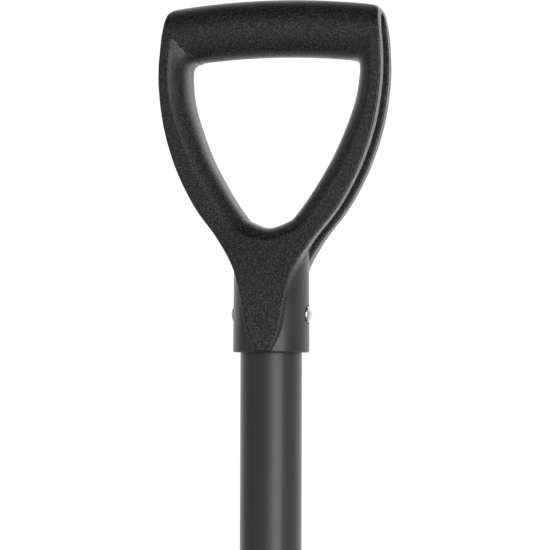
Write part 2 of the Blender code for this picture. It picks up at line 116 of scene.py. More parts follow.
# Shields, socket, bore and screw seats. A shield's depth falls between two heights.
SHIELD_DEPTH = 0.0230
SHIELD_FALLS = (0.030, 0.080)
SOCKET_RADIUS = 0.0221
SOCKET_DRAFT = 0.0085
SOCKET_INSET = 0.0005
SOCKET_HEIGHT = 0.060
SOCKET_FOOT_ROUND = 0.0012
SOCKET_FACE_ROUND = 0.0005
DOME_HEIGHT = 0.009
BORE_RADIUS = 0.0181
BORE_DEPTH = 0.056
BORE_EDGE_ROUND = 0.0005
SCREW_HEIGHT = 0.022
SEAT_DISTANCE = 0.0209
SEAT_RADIUS = 0.0054
SEAT_ROUND = 0.0003
SCREW_HOLE_RADIUS = 0.0024
RIM_ROUND = 0.0009
BAR_FILLET = 0.0007
SOCKET_FILLET = 0.0009
SHIELD_FOOT = 0.0004
# How finely curves, and the grip's surface, are worked out.
CURVE_STEPS = 8
CORNER_STEPS = 5
OUTER_ARCH_STEPS = 30
INNER_ARCH_STEPS = 24
GRIP_CELL = 0.0008
GRIP_SPAN = [(-0.068, -0.026, -0.002), (0.068, 0.031, GRIP_HEIGHT + 0.002)]
GRIP_TABLE_SPAN = [(-0.002, -0.006), (0.0765, 0.2165)]
GRIP_TABLE_STEP = 0.00025
# Heights over the socket's own surface between which its skin is smooth.
SMOOTH_SKIN = (-0.0009, -0.0004, 0.0, 0.0004)


# ---------------------------------------------------------------- outlines

def smooth_step(value, low, high):
    """Eases from 0 to 1 as a value goes from low to high."""
    t = np.clip((value - low) / (high - low), 0, 1)
    return t * t * (3 - 2 * t)


def smooth_curve(knots, steps):
    """Catmull-Rom curve through 2D knots, with the given number of steps per span."""
    knots = np.array(knots, dtype=float)
    padded = np.vstack([2 * knots[0] - knots[1], knots, 2 * knots[-1] - knots[-2]])
    points = []
    for a, b, c, d in zip(padded, padded[1:], padded[2:], padded[3:]):
        for t in np.arange(steps) / steps:
            points.append(0.5 * (2 * b + (c - a) * t + (2 * a - 5 * b + 4 * c - d) * t ** 2
                                 + (3 * b - a - 3 * c + d) * t ** 3))
    points.append(knots[-1])
    return np.array(points)


def bar_axis(x):
    """Height of the crossbar's arched axis."""
    return GRIP_HEIGHT - BAR_RADIUS - x * x / (2 * BAR_ARCH)


def mirrored(half):
    """A closed outline from its right half, which runs from the bottom to the top."""
    left = half[::-1] * np.array([-1.0, 1.0])
    return np.vstack([half, left[np.abs(left[:, 0]) > 1e-6]])


def ring_outline():
    """The grip's outline, with the arched top of the crossbar."""
    side = smooth_curve(OUTSIDE + TOP_CORNER, CURVE_STEPS)
    x = np.linspace(BAR_HALF_LENGTH, 0.0, OUTER_ARCH_STEPS)
    top = np.stack([x, bar_axis(x) + BAR_RADIUS], axis=1)
    return mirrored(np.vstack([side, top]))


def hole_side():
    """The hand hole's right side, and the direction away from the hole at each point.
    The first knot is across the middle, so its span is left out."""
    side = smooth_curve(HOLE_SIDE, CURVE_STEPS)
    along = np.gradient(side, axis=0)
    along /= np.linalg.norm(along, axis=1)[:, None]
    outward = np.stack([along[:, 1], -along[:, 0]], axis=1)
    return side[CURVE_STEPS:], outward[CURVE_STEPS:]


def hole_and_crease():
    """The hand hole's outline, and that of the crease around it, beside the flat faces."""
    side, outward = hole_side()
    offset = CREASE_OFFSET + (CREASE_FOOT_OFFSET - CREASE_OFFSET) * outward[:, 1] ** 2
    crease = side + outward * offset[:, None]
    hole = closed_with_arch(side, HOLE_CORNER, HOLE_TOP_HALF_LENGTH, BAR_RADIUS)
    return hole, closed_with_arch(crease, CREASE_CORNER, CREASE_TOP_HALF_LENGTH, 0.0)


def closed_with_arch(side, corner_knots, half_length, below_axis):
    """A closed outline of two mirrored sides, a smooth corner and a top along the crossbar."""
    x = np.linspace(half_length, 0.0, INNER_ARCH_STEPS)
    top = np.stack([x, bar_axis(x) - below_axis], axis=1)
    corner = smooth_curve([side[-1]] + corner_knots + [top[0]], CORNER_STEPS)[1:-1]
    return mirrored(np.vstack([side, corner, top]))


def web_outline():
    """The grip without its side channels: the hole's surround, and everything above it."""
    side, outward = hole_side()
    return mirrored(np.vstack([side + outward * WEB, np.array(WEB_TOP)]))


def outline_distance(outline, x, z):
    """Signed distance from points to a closed outline, negative inside it."""
    nearest = np.full(x.shape, np.inf)
    inside = np.zeros(x.shape, dtype=bool)
    for (ax, az), (bx, bz) in zip(outline, np.roll(outline, -1, axis=0)):
        ex, ez = bx - ax, bz - az
        share = np.clip(((x - ax) * ex + (z - az) * ez) / (ex * ex + ez * ez + 1e-18), 0, 1)
        nearest = np.minimum(nearest, (x - ax - share * ex) ** 2 + (z - az - share * ez) ** 2)
        if az != bz:
            crosses = (az > z) != (bz > z)
            inside ^= crosses & (x < ax + (z - az) * ex / ez)
    return np.where(inside, -1.0, 1.0) * np.sqrt(nearest)


class DistanceTable:
    """Distances to closed outlines, worked out once on an even grid in x and z."""

    def __init__(self, outlines, low, high, step):
        self.low = low
        self.step = step
        x = np.arange(low[0], high[0], step)[:, None]
        z = np.arange(low[1], high[1], step)[None, :]
        x, z = np.broadcast_arrays(x, z)
        self.shape = x.shape
        self.tables = {name: outline_distance(line, x, z) for name, line in outlines.items()}

    def look_up(self, x, z):
        """Distance to each outline at the given places, by its name."""
        i = np.clip((x - self.low[0]) / self.step, 0, self.shape[0] - 1.001)
        k = np.clip((z - self.low[1]) / self.step, 0, self.shape[1] - 1.001)
        i0, k0 = i.astype(int), k.astype(int)
        share_x, share_z = i - i0, k - k0
        found = {}
        for name, table in self.tables.items():
            near = table[i0, k0] * (1 - share_x) + table[i0 + 1, k0] * share_x
            far = table[i0, k0 + 1] * (1 - share_x) + table[i0 + 1, k0 + 1] * share_x
            found[name] = near * (1 - share_z) + far * share_z
        return found


def grip_table():
    """Distances to the outlines of the grip's right half."""
    hole, crease = hole_and_crease()
    outlines = {"outer": ring_outline(), "hole": hole, "crease": crease, "web": web_outline()}
    return DistanceTable(outlines, *GRIP_TABLE_SPAN, GRIP_TABLE_STEP)


# ---------------------------------------------------------------- grip as a distance field

def round_both(a, b, radius):
    """Where both fields are solid. Their shared edge is rounded."""
    corner = np.hypot(np.maximum(a + radius, 0), np.maximum(b + radius, 0))
    return np.minimum(np.maximum(a, b), -radius) + corner


def join(a, b, radius):
    """Where either field is solid, with a fillet between them."""
    return -round_both(-a, -b, radius)


def lean(z):
    """How far back the grip's middle plane is at a height: upright, then raked."""
    ahead = z - RAKE_START
    return math.tan(RAKE) * 0.5 * (ahead + np.sqrt(ahead * ahead + RAKE_BEND ** 2))


def face_depth(z):
    """Half of the grip's depth from front to back, between its flat faces."""
    return SHIELD_DEPTH + (HALF_DEPTH - SHIELD_DEPTH) * smooth_step(z, *SHIELD_FALLS)


def beyond_mitre(x, z):
    """How far points are past the line where the crossbar ends and an arm starts."""
    tip, foot = (Vector(end) for end in MITRE)
    along = (tip - foot).normalized()
    return (np.abs(x) - foot.x) * along.y - (z - foot.y) * along.x


def arms(x, v, z, plan, end_axis):
    """The flat faced arms and the shields below them, with a crease around the hand hole."""
    depth = face_depth(z)
    slab = np.hypot(v, ARM_END_SQUASH * np.maximum(z - end_axis + ARM_END_DROP, 0)) - depth
    body = round_both(slab, plan["outer"], RIM_ROUND)
    body = round_both(body, inner_side(v, z, plan), CREASE_ROUND)
    under_bar = np.minimum(-beyond_mitre(x, z) - ARM_UNDER_BAR, -plan["crease"])
    return body + ARM_UNDER_BAR_SLOPE * np.maximum(under_bar, 0)


def inner_side(v, z, plan):
    """The slope from the crease into the hand hole, steepest at its two ends."""
    width = np.maximum(plan["hole"] - plan["crease"], INNER_LEAST_WIDTH)
    across = 1 - plan["hole"] / width
    fall = across * (1 + CREASE_DIP / (np.maximum(across, 0) + CREASE_DIP_WIDTH))
    fall = fall / (1 + CREASE_DIP / (1 + CREASE_DIP_WIDTH))
    apex = INNER_APEX + INNER_LEAN * (z - INNER_APEX_Z)
    reach = np.where(v > apex, face_depth(z) - apex, face_depth(z) + apex)
    deep = np.abs(v - apex) / reach
    steep = np.hypot(1 / width, INNER_POWER * deep ** (INNER_POWER - 1) / reach)
    return (fall + deep ** INNER_POWER - 1) / steep


def bar(x, y, z, plan):
    """The round crossbar, which a slanting wall cuts off where each arm starts."""
    slope = x / BAR_ARCH
    up = (z - bar_axis(x)) / np.sqrt(1 + slope * slope)
    body = np.hypot(up, y - lean(bar_axis(0.0))) - BAR_RADIUS
    body = round_both(body, plan["outer"], RIM_ROUND)
    inside = np.maximum(np.minimum(beyond_mitre(x, z), -plan["crease"]), 0)
    return body + BAR_END_SLOPE * inside


def socket(x, y, z):
    """The round socket. Its domed upper end stays behind the faces of the arms."""
    out = np.hypot(x, y)
    cone = out - (SOCKET_RADIUS - SOCKET_DRAFT * np.clip(z, 0, SOCKET_HEIGHT))
    top = SOCKET_RADIUS - SOCKET_DRAFT * SOCKET_HEIGHT
    dome = np.hypot(out / top, np.maximum(z - SOCKET_HEIGHT, 0) / DOME_HEIGHT) - 1
    body = np.where(z > SOCKET_HEIGHT, np.maximum(dome * DOME_HEIGHT, cone), cone)
    body = round_both(body, np.abs(y - lean(z)) - face_depth(z) + SOCKET_INSET, SOCKET_FACE_ROUND)
    return round_both(body, -z, SOCKET_FOOT_ROUND)


def grip_field(table):
    """The whole grip: arms, crossbar and socket, less its channels, bore and screw seats."""
    end_axis = bar_axis(OUTSIDE[-1][0])

    def field(x, y, z):
        plan = table.look_up(*np.broadcast_arrays(np.abs(x), z))
        v = y - lean(z)
        ring = join(arms(x, v, z, plan, end_axis), bar(x, y, z, plan), BAR_FILLET)
        above = np.maximum(z - end_axis, 0) * CHANNEL_HALF_WIDTH / CHANNEL_TOP
        channel = np.hypot(v, above) - CHANNEL_HALF_WIDTH
        channel = round_both(channel, -plan["web"], CHANNEL_FLOOR_ROUND)
        ring = round_both(ring, -channel, CHANNEL_EDGE_ROUND)
        ring = round_both(ring, SHIELD_FOOT - z, SHIELD_FOOT)
        body = join(ring, socket(x, y, z), SOCKET_FILLET)
        bore = np.maximum(np.hypot(x, y) - BORE_RADIUS, z - BORE_DEPTH)
        body = round_both(body, -bore, BORE_EDGE_ROUND)
        beside = np.hypot(y, z - SCREW_HEIGHT)
        seat = round_both(beside - SEAT_RADIUS, SEAT_DISTANCE - np.abs(x), SEAT_ROUND)
        body = round_both(body, -seat, SEAT_ROUND)
        return np.maximum(body, SCREW_HOLE_RADIUS - beside)

    return field


def surface_nets(field, low, high, cell):
    """Vertices and quads of the surface where a field is zero, from a grid of cubes."""
    x, y, z = (np.arange(a, b + cell, cell) for a, b in zip(low, high))
    values = field(x[:, None, None], y[None, :, None], z[None, None, :])
    inside = values < 0
    shape = tuple(n - 1 for n in values.shape)
    corners = np.array([(i, j, k) for i in (0, 1) for j in (0, 1) for k in (0, 1)])
    filled = np.zeros(shape, dtype=np.int8)
    for i, j, k in corners:
        filled += inside[i:i + shape[0], j:j + shape[1], k:k + shape[2]]
    active = (filled > 0) & (filled < 8)
    cells = np.argwhere(active)
    at = [values[tuple((cells + corner).T)] for corner in corners]
    total = np.zeros((len(cells), 3))
    hits = np.zeros(len(cells))
    for a in range(8):
        for b in range(a + 1, 8):
            if np.abs(corners[a] - corners[b]).sum() != 1:
                continue
            crossing = (at[a] < 0) != (at[b] < 0)
            share = np.where(crossing, at[a] / np.where(crossing, at[a] - at[b], 1), 0)
            point = corners[a] + share[:, None] * (corners[b] - corners[a])
            total += point * crossing[:, None]
            hits += crossing
    points = (cells + total / hits[:, None]) * cell + np.array(low)
    number = np.full(shape, -1, dtype=np.int64)
    number[active] = np.arange(len(cells))
    quads = []
    for axis in range(3):
        first, second = (axis + 1) % 3, (axis + 2) % 3
        start = [slice(None)] * 3
        end = [slice(None)] * 3
        start[axis], end[axis] = slice(0, -1), slice(1, None)
        before, after = inside[tuple(start)], inside[tuple(end)]
        edges = np.argwhere(before != after)
        keep = (edges[:, first] > 0) & (edges[:, second] > 0)
        keep &= (edges[:, first] < values.shape[first] - 1) & (edges[:, second] < values.shape[second] - 1)
        edges = edges[keep]
        ring = []
        for da, db in ((-1, -1), (0, -1), (0, 0), (-1, 0)):
            cell_at = edges.copy()
            cell_at[:, first] += da
            cell_at[:, second] += db
            ring.append(number[tuple(cell_at.T)])
        ring = np.stack(ring, axis=1)
        facing_back = ~before[tuple(edges.T)]
        ring[facing_back] = ring[facing_back][:, ::-1]
        quads.append(ring)
    return points, np.vstack(quads)


def gradient(field, points, step=0.00012):
    """The field's slope along x, y and z at each point."""
    slopes = []
    for axis in range(3):
        shift = np.zeros(3)
        shift[axis] = step
        ahead = field(*(points + shift).T)
        behind = field(*(points - shift).T)
        slopes.append((ahead - behind) / (2 * step))
    return np.stack(slopes, axis=1)


def settle(points, field, reach):
    """Moves points onto the field's surface, each by no more than reach in a round."""
    for _ in range(3):
        slope = gradient(field, points)
        size = np.maximum((slope ** 2).sum(axis=1), 0.05)
        move = -(field(*points.T) / size)[:, None] * slope
        length = np.linalg.norm(move, axis=1)
        move *= np.minimum(1, reach / np.maximum(length, 1e-12))[:, None]
        points = points + move
    return points


# ---------------------------------------------------------------- pieces

def add_piece(name, mesh, node):
    """A piece of the shovel's body that replaces a CAD node."""
    piece = bpy.data.objects.new(name, mesh)
    bpy.context.scene.collection.objects.link(piece)
    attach(piece, "root")
    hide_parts(node)
    return piece


def field_mesh(name, field, low, high, cell):
    """The surface of a field as a mesh, shaded by the field's own slopes."""
    points, quads = surface_nets(field, low, high, cell)
    points = settle(points, field, cell / 2)
    mesh = bpy.data.meshes.new(name)
    mesh.from_pydata((points + np.array(ORIGIN)).tolist(), [], quads.tolist())
    mesh.shade_smooth()
    slope = gradient(field, points)
    slope /= np.maximum(np.linalg.norm(slope, axis=1), 1e-9)[:, None]
    mesh.normals_split_custom_set_from_vertices(slope.tolist())
    return mesh, points


def mark(mesh, name, values):
    """Keep a number for each vertex, which the material reads by its name."""
    layer = mesh.attributes.new(name, "FLOAT", "POINT")
    layer.data.foreach_set("value", np.asarray(values, dtype=np.float32))


def make_grip():
    """The moulded grip. It marks the socket's own skin, which is smoother than the rest."""
    mesh, points = field_mesh("grip", grip_field(grip_table()), *GRIP_SPAN, GRIP_CELL)
    height = socket(*points.T)
    mark(mesh, "socket", np.interp(height, SMOOTH_SKIN, (0, 1, 1, 0)))
    return add_piece("grip", mesh, "d_grip")


# ---------------------------------------------------------------- screws and rivets

SCREW_CLEARANCE = 0.0003
SCREW_UNDER = SEAT_DISTANCE + SCREW_CLEARANCE
SCREW_HEAD_RADIUS = 0.0049
SCREW_HEAD_HEIGHT = 0.0026
SCREW_TOP = SCREW_UNDER + SCREW_HEAD_HEIGHT
SCREW_CROWN_RADIUS = 0.0075
SCREW_EDGE_ROUND = 0.0007
SCREW_LENGTH = 0.014
SCREW_TIP = SCREW_UNDER - SCREW_LENGTH
SCREW_TAPER = 0.004
SCREW_TIP_SHARE = 0.15
SCREW_REACH = 0.005
THREAD_STEEPNESS = 0.8
HEAD_OVERLAP = 0.001
RECESS_EDGE_ROUND = 0.00012
THREAD_PITCH = 0.0015
THREAD_RADII = (0.0016, 0.0021)
RECESS_DEPTH = 0.0013
RECESS_HALF = (0.00040, 0.0020)
SCREW_CELL = 0.0002
RIVET_RADIUS = 0.0029
RIVET_HEAD_RADIUS = 0.0062
RIVET_HEAD_HEIGHT = 0.0026
RIVET_EDGE_ROUND = 0.0004
RIVET_CELL = 0.0005
FINE_ROUND = 0.0003
MARGIN = 0.0005


def make_screw(side):
    """A self-tapping pan head screw with a cross recess, which points at the shaft's axis."""

    def field(x, y, z):
        out = side * x
        up = z - SCREW_HEIGHT
        radius = np.hypot(y, up)
        shank = screw_shank(out, side * np.arctan2(up, y), radius)
        return np.minimum(screw_head(out, y, up, radius), shank)

    name = "screw_right" if side > 0 else "screw_left"
    ends = sorted((side * (SCREW_TIP - MARGIN), side * (SCREW_TOP + MARGIN)))
    low = (ends[0], -SCREW_REACH, SCREW_HEIGHT - SCREW_REACH)
    high = (ends[1], SCREW_REACH, SCREW_HEIGHT + SCREW_REACH)
    mesh, _ = field_mesh(name, field, low, high, SCREW_CELL)
    return add_piece(name, mesh, "grip_" + name)


def screw_head(out, y, up, radius):
    """The domed head with its cross recess. out is the distance from the shaft's axis."""
    crown = np.hypot(radius, out - SCREW_TOP + SCREW_CROWN_RADIUS) - SCREW_CROWN_RADIUS
    head = round_both(radius - SCREW_HEAD_RADIUS, crown, SCREW_EDGE_ROUND)
    head = round_both(head, SCREW_UNDER - out, FINE_ROUND)
    narrow, wide = RECESS_HALF
    upright = np.maximum(np.abs(y) - narrow, np.abs(up) - wide)
    level = np.maximum(np.abs(y) - wide, np.abs(up) - narrow)
    floor_height = SCREW_TOP - RECESS_DEPTH + radius / 4
    recess = np.maximum(join(upright, level, FINE_ROUND), floor_height - out)
    return round_both(head, -recess, RECESS_EDGE_ROUND)


def screw_shank(out, angle, radius):
    """The threaded shank, which tapers towards its tip."""
    turn = angle / math.tau + out / THREAD_PITCH
    ridge = np.abs(2 * (turn - np.floor(turn)) - 1) ** 2
    taper = np.clip((out - SCREW_TIP) / SCREW_TAPER, SCREW_TIP_SHARE, 1)
    root, crest = THREAD_RADII
    shank = radius - (root + (crest - root) * ridge) * taper
    ends = np.maximum(SCREW_TIP - out, out - SCREW_UNDER - HEAD_OVERLAP)
    return np.maximum(THREAD_STEEPNESS * shank, ends)


def make_rivet(node):
    """A solid rivet from front to back, with a domed head on each side."""
    box = [Vector(corner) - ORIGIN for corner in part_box(node)]
    height = (box[0].z + box[1].z) / 2
    half = (box[1].y - box[0].y) / 2
    seat = half - RIVET_HEAD_HEIGHT
    ball = (RIVET_HEAD_RADIUS ** 2 + RIVET_HEAD_HEIGHT ** 2) / (2 * RIVET_HEAD_HEIGHT)

    def field(x, y, z):
        radius = np.hypot(x, z - height)
        dome = np.hypot(radius, np.abs(y) - half + ball) - ball
        head = round_both(dome, seat - np.abs(y), RIVET_EDGE_ROUND)
        shank = np.maximum(radius - RIVET_RADIUS, np.abs(y) - seat - HEAD_OVERLAP)
        return np.minimum(head, shank)

    reach = RIVET_HEAD_RADIUS + 2 * MARGIN
    low = (-reach, -half - 2 * MARGIN, height - reach)
    high = (reach, half + 2 * MARGIN, height + reach)
    name = node.replace("socket_", "")
    mesh, _ = field_mesh(name, field, low, high, RIVET_CELL)
    return add_piece(name, mesh, node)


# ---------------------------------------------------------------- turned pieces

SHARP_ANGLE = math.radians(40)


def turned(name, profile, segments=160):
    """A closed profile of (radius, height) points, turned about the shaft's axis."""
    angles = math.tau * np.arange(segments) / segments
    radius, height = np.array(profile).T
    points = np.stack([np.outer(radius, np.cos(angles)), np.outer(radius, np.sin(angles)),
                       np.outer(height, np.ones(segments))], axis=2)
    index = np.arange(len(profile) * segments).reshape(len(profile), segments)
    above = np.roll(index, -1, axis=0)
    quads = np.stack([index, np.roll(index, -1, axis=1), np.roll(above, -1, axis=1), above], axis=2)
    mesh = bpy.data.meshes.new(name)
    mesh.from_pydata((points.reshape(-1, 3) + np.array(ORIGIN)).tolist(), [],
                     quads.reshape(-1, 4).tolist())
    mesh.shade_smooth()
    mesh.set_sharp_from_angle(angle=SHARP_ANGLE)
    return mesh


def rounded(corners, radii, steps=4):
    """A closed profile whose corners are rounded. Corners run with the solid on their left."""
    corners = [Vector(corner) for corner in corners]
    profile = []
    for i, corner in enumerate(corners):
        before = (corners[i - 1] - corner).normalized()
        after = (corners[(i + 1) % len(corners)] - corner).normalized()
        start, end = corner + before * radii[i], corner + after * radii[i]
        for step in range(steps + 1):
            t = step / steps
            profile.append(tuple((1 - t) ** 2 * start + 2 * t * (1 - t) * corner + t * t * end))
    return profile


GAP = 0.0003
SHAFT_RADIUS = SHAFT_BOX[1].x - SHAFT_CENTRE.x
SHAFT_WALL = 0.0016
SHAFT_EDGE_ROUND = 0.0004
SHAFT_ENDS = [corner.z - ORIGIN.z for corner in SHAFT_BOX]
STEEL_SOCKET_ENDS = [corner[2] - ORIGIN.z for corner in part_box("socket")]
STEEL_SOCKET_RADII = (0.0219, 0.0201)
STEEL_SOCKET_WALL = 0.0020
STEEL_SOCKET_ROUND = 0.0005
FERRULE_ENDS = [corner[2] - ORIGIN.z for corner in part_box("socket_ferrule")]
FERRULE_WALL = 0.0018
FERRULE_LIP = 0.0018
FERRULE_GROOVE = (0.0043, 0.0059, 0.0003)
FERRULE_GROOVE_SLANT = 0.0003
FERRULE_OUTSIDE_ROUNDS = [0.0006, 0.0002, 0.0002, 0.0002, 0.0002, 0.0012]
FERRULE_INSIDE_ROUNDS = [0.0003, 0.0002, 0.0002, 0.0004]


def make_shaft():
    """The coated tube, open at both ends."""
    low, high = SHAFT_ENDS
    inner = SHAFT_RADIUS - SHAFT_WALL
    corners = [(SHAFT_RADIUS, low), (SHAFT_RADIUS, high), (inner, high), (inner, low)]
    mesh = turned("tube", rounded(corners, [SHAFT_EDGE_ROUND] * len(corners)))
    return add_piece("tube", mesh, "shaft")


def make_steel_socket():
    """The steel socket, slightly wider at its foot."""
    low, high = STEEL_SOCKET_ENDS
    foot, mouth = STEEL_SOCKET_RADII
    wall = STEEL_SOCKET_WALL
    corners = [(foot, low), (mouth, high), (mouth - wall, high), (foot - wall, low)]
    mesh = turned("socket_cone", rounded(corners, [STEEL_SOCKET_ROUND] * len(corners)))
    return add_piece("socket_cone", mesh, "socket")


def make_ferrule():
    """The ring around the socket's mouth, with a lip over its edge and a shallow groove."""
    low, high = FERRULE_ENDS
    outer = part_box("socket_ferrule")[1][0]
    inner = outer - FERRULE_WALL
    lip = SHAFT_RADIUS + GAP
    under = high - FERRULE_LIP
    bottom, top, depth = FERRULE_GROOVE
    slant = FERRULE_GROOVE_SLANT
    outside = [(outer, low), (outer, low + bottom - slant), (outer - depth, low + bottom + slant),
               (outer - depth, low + top - slant), (outer, low + top + slant), (outer, high)]
    inside = [(lip, high), (lip, under), (inner, under), (inner, low)]
    rounds = FERRULE_OUTSIDE_ROUNDS + FERRULE_INSIDE_ROUNDS
    mesh = turned("ferrule", rounded(outside + inside, rounds))
    return add_piece("ferrule", mesh, "socket_ferrule")


# ---------------------------------------------------------------- blade

SHEET = 0.0020
TREAD_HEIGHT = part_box("blade")[1][2] - ORIGIN.z
BLADE_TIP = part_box("blade")[0][2] - ORIGIN.z
BLADE_HALF_WIDTH = 0.111
BLADE_SIDE = [(0.0, 0.0), (0.010, 0.0012), (0.022, 0.0085), (0.046, 0.036), (0.079, 0.093),
              (0.100, 0.160), (0.109, 0.220), (BLADE_HALF_WIDTH, 0.262), (0.1085, 0.281)]
BLADE_STEPS = 6
# Treads, turned to the front on each side of the frog.
TREAD_INNER = 0.029
TREAD_OUTER = 0.1035
TREAD_WIDTH = 0.0165
TREAD_CORNER = 0.005
TREAD_EDGE_ROUND = 0.0006
TREAD_FILLET = 0.0022
TREAD_BEND = 0.0032
TREAD_BEND_FROM = (0.024, 0.028)
# How the sheet is dished from side to side, and leans to the front towards its tip.
DISH = 0.021
DISH_SHARE = 0.40
LEAN_TOP = 0.09
LEAN_MORE = 0.13
SLOPE_STEP = 0.0005
# The frog, a half round swelling that the socket runs into, and the plate behind it.
FROG_RADIUS = 0.0209
FROG_LENGTH = 0.165
FROG_TIP_WIDTH = 0.42
FROG_FADES = 0.3
FROG_SUNK = 0.004
FROG_FREE = 0.030
FROG_FILLET = 0.006
FROG_LEAST_FILLET = 0.0001
PLATE_HALF_WIDTHS = (0.033, 0.016)
PLATE_BOTTOM = TREAD_HEIGHT - FROG_LENGTH - 0.010
PLATE_CORNER = 0.007
PLATE_TOP_ROUND = 0.0010
PLATE_EDGE_ROUND = 0.0007
PLATE_CELL = 0.0010
PLATE_SPAN = [(-0.035, -0.036, PLATE_BOTTOM - 0.002), (0.035, 0.027, TREAD_HEIGHT + 0.002)]
BLADE_EDGE_ROUND = 0.0004
BLADE_CELL = 0.0012
BLADE_SPAN = [(-BLADE_HALF_WIDTH - 0.0015, -0.049, BLADE_TIP - 0.0015),
              (BLADE_HALF_WIDTH + 0.0015, 0.004, TREAD_HEIGHT + 0.0015)]
BLADE_TABLE_SPAN = [(-BLADE_HALF_WIDTH - 0.0015, BLADE_TIP - 0.002),
                    (BLADE_HALF_WIDTH + 0.0025, TREAD_HEIGHT + 0.003)]
# The ground edge and its wear, which set in between two heights.
EDGE_GRIND = 0.011
EDGE_THINNING = 0.2
GROUND_FROM = TREAD_HEIGHT - 0.100
GROUND_TO = TREAD_HEIGHT - 0.060
WEAR_WIDTH = 0.026
WORN_FROM = TREAD_HEIGHT - 0.200
WORN_TO = TREAD_HEIGHT - 0.100


def dished(x, z):
    """y of the middle of the blade's sheet, without the frog."""
    length = TREAD_HEIGHT - BLADE_TIP
    share = np.maximum((TREAD_HEIGHT - z) / length, 0)
    middle = -length * (LEAN_TOP * share + LEAN_MORE / 2 * share ** 2)
    return middle - DISH * smooth_step(share, 0, DISH_SHARE) * (x / BLADE_HALF_WIDTH) ** 2


def bumped_sheet(x, y, z, lift, side, thickness):
    """A sheet along the dished blade, with the frog standing to one side of it."""
    base = dished(x, z) + lift
    across = (dished(x + SLOPE_STEP, z) - dished(x - SLOPE_STEP, z)) / (2 * SLOPE_STEP)
    down = (dished(x, z + SLOPE_STEP) - dished(x, z - SLOPE_STEP)) / (2 * SLOPE_STEP)
    out = side * (y - base)
    flat = (out - SHEET / 2) / np.sqrt(1 + across ** 2 + down ** 2)
    fade = 1 - smooth_step(TREAD_HEIGHT - z, 0, FROG_LENGTH)
    width = FROG_RADIUS * (FROG_TIP_WIDTH + (1 - FROG_TIP_WIDTH) * fade) + SHEET / 2
    height = FROG_RADIUS * fade + SHEET / 2
    size = np.hypot(x / width, out / height) + 1e-9
    steep = np.hypot(x / width ** 2, out / height ** 2) + 1e-9
    stands = np.clip(fade / FROG_FADES, 0, 1)
    frog = np.maximum(size * (size - 1) / steep, -height) + FROG_SUNK * (1 - stands)
    middle = join(flat, frog, FROG_FILLET * stands + FROG_LEAST_FILLET) + SHEET / 2
    return np.abs(middle) - thickness / 2


def blade_table():
    """Distance to the blade's outline, which is a round point below two straight treads."""
    side = smooth_curve(BLADE_SIDE, BLADE_STEPS) + np.array([0.0, BLADE_TIP])
    outline = mirrored(np.vstack([side, [(TREAD_OUTER, TREAD_HEIGHT), (0.0, TREAD_HEIGHT)]]))
    return DistanceTable({"blade": outline}, *BLADE_TABLE_SPAN, BLADE_CELL / 2)


def treads(x, y, z):
    """The two flat foot treads, which are turned to the front along the blade's top."""
    half_length = (TREAD_OUTER - TREAD_INNER) / 2
    half_width = (TREAD_WIDTH + SHEET / 2) / 2
    along = np.abs(np.abs(x) - TREAD_INNER - half_length) - half_length + TREAD_CORNER
    across = np.abs(y + half_width - SHEET / 2) - half_width + TREAD_CORNER
    plan = np.hypot(np.maximum(along, 0), np.maximum(across, 0)) - TREAD_CORNER
    plan += np.minimum(np.maximum(along, across), 0)
    plate = np.abs(z - TREAD_HEIGHT + SHEET / 2) - SHEET / 2
    return round_both(plan, plate, TREAD_EDGE_ROUND)


def make_blade():
    """The dished blade with its frog and treads, thinner where its edge is ground."""
    table = blade_table()

    def field(x, y, z):
        edge = table.look_up(*np.broadcast_arrays(x, z))["blade"]
        whole = np.clip(-edge / EDGE_GRIND, 0, 1)
        low = np.clip((GROUND_TO - z) / (GROUND_TO - GROUND_FROM), 0, 1)
        thickness = SHEET * (1 - EDGE_THINNING * low * (1 - whole))
        body = round_both(bumped_sheet(x, y, z, 0.0, -1, thickness), edge, BLADE_EDGE_ROUND)
        body = join(body, treads(x, y, z), TREAD_FILLET)
        corner = round_both(y - SHEET / 2, z - TREAD_HEIGHT, TREAD_BEND)
        start, end = TREAD_BEND_FROM
        near_frog = 1 - np.clip((np.abs(x) - start) / (end - start), 0, 1)
        return np.maximum(body, corner - FROG_FREE * near_frog)

    mesh, points = field_mesh("blade", field, *BLADE_SPAN, BLADE_CELL)
    edge = -table.look_up(points[:, 0], points[:, 2])["blade"]
    worn = np.clip(1 - edge / WEAR_WIDTH, 0, 1)
    worn *= np.clip((WORN_TO - points[:, 2]) / (WORN_TO - WORN_FROM), 0, 1)
    mark(mesh, "worn", worn)
    return add_piece("blade_sheet", mesh, "blade")


def make_frog_plate():
    """The plate over the hollow behind the frog, which closes the blade's back."""
    top_width, bottom_width = PLATE_HALF_WIDTHS

    def field(x, y, z):
        share = (TREAD_HEIGHT - z) / (TREAD_HEIGHT - PLATE_BOTTOM)
        half_width = top_width + (bottom_width - top_width) * share
        edge = round_both(np.abs(x) - half_width, PLATE_BOTTOM - z, PLATE_CORNER)
        edge = round_both(edge, z - TREAD_HEIGHT, PLATE_TOP_ROUND)
        body = bumped_sheet(x, y, z, SHEET + GAP, 1, SHEET)
        return round_both(body, edge, PLATE_EDGE_ROUND)

    mesh, points = field_mesh("frog_back", field, *PLATE_SPAN, PLATE_CELL)
    mark(mesh, "worn", np.zeros(len(points)))
    return add_piece("frog_back", mesh, "frog_plate")


# ---------------------------------------------------------------- materials

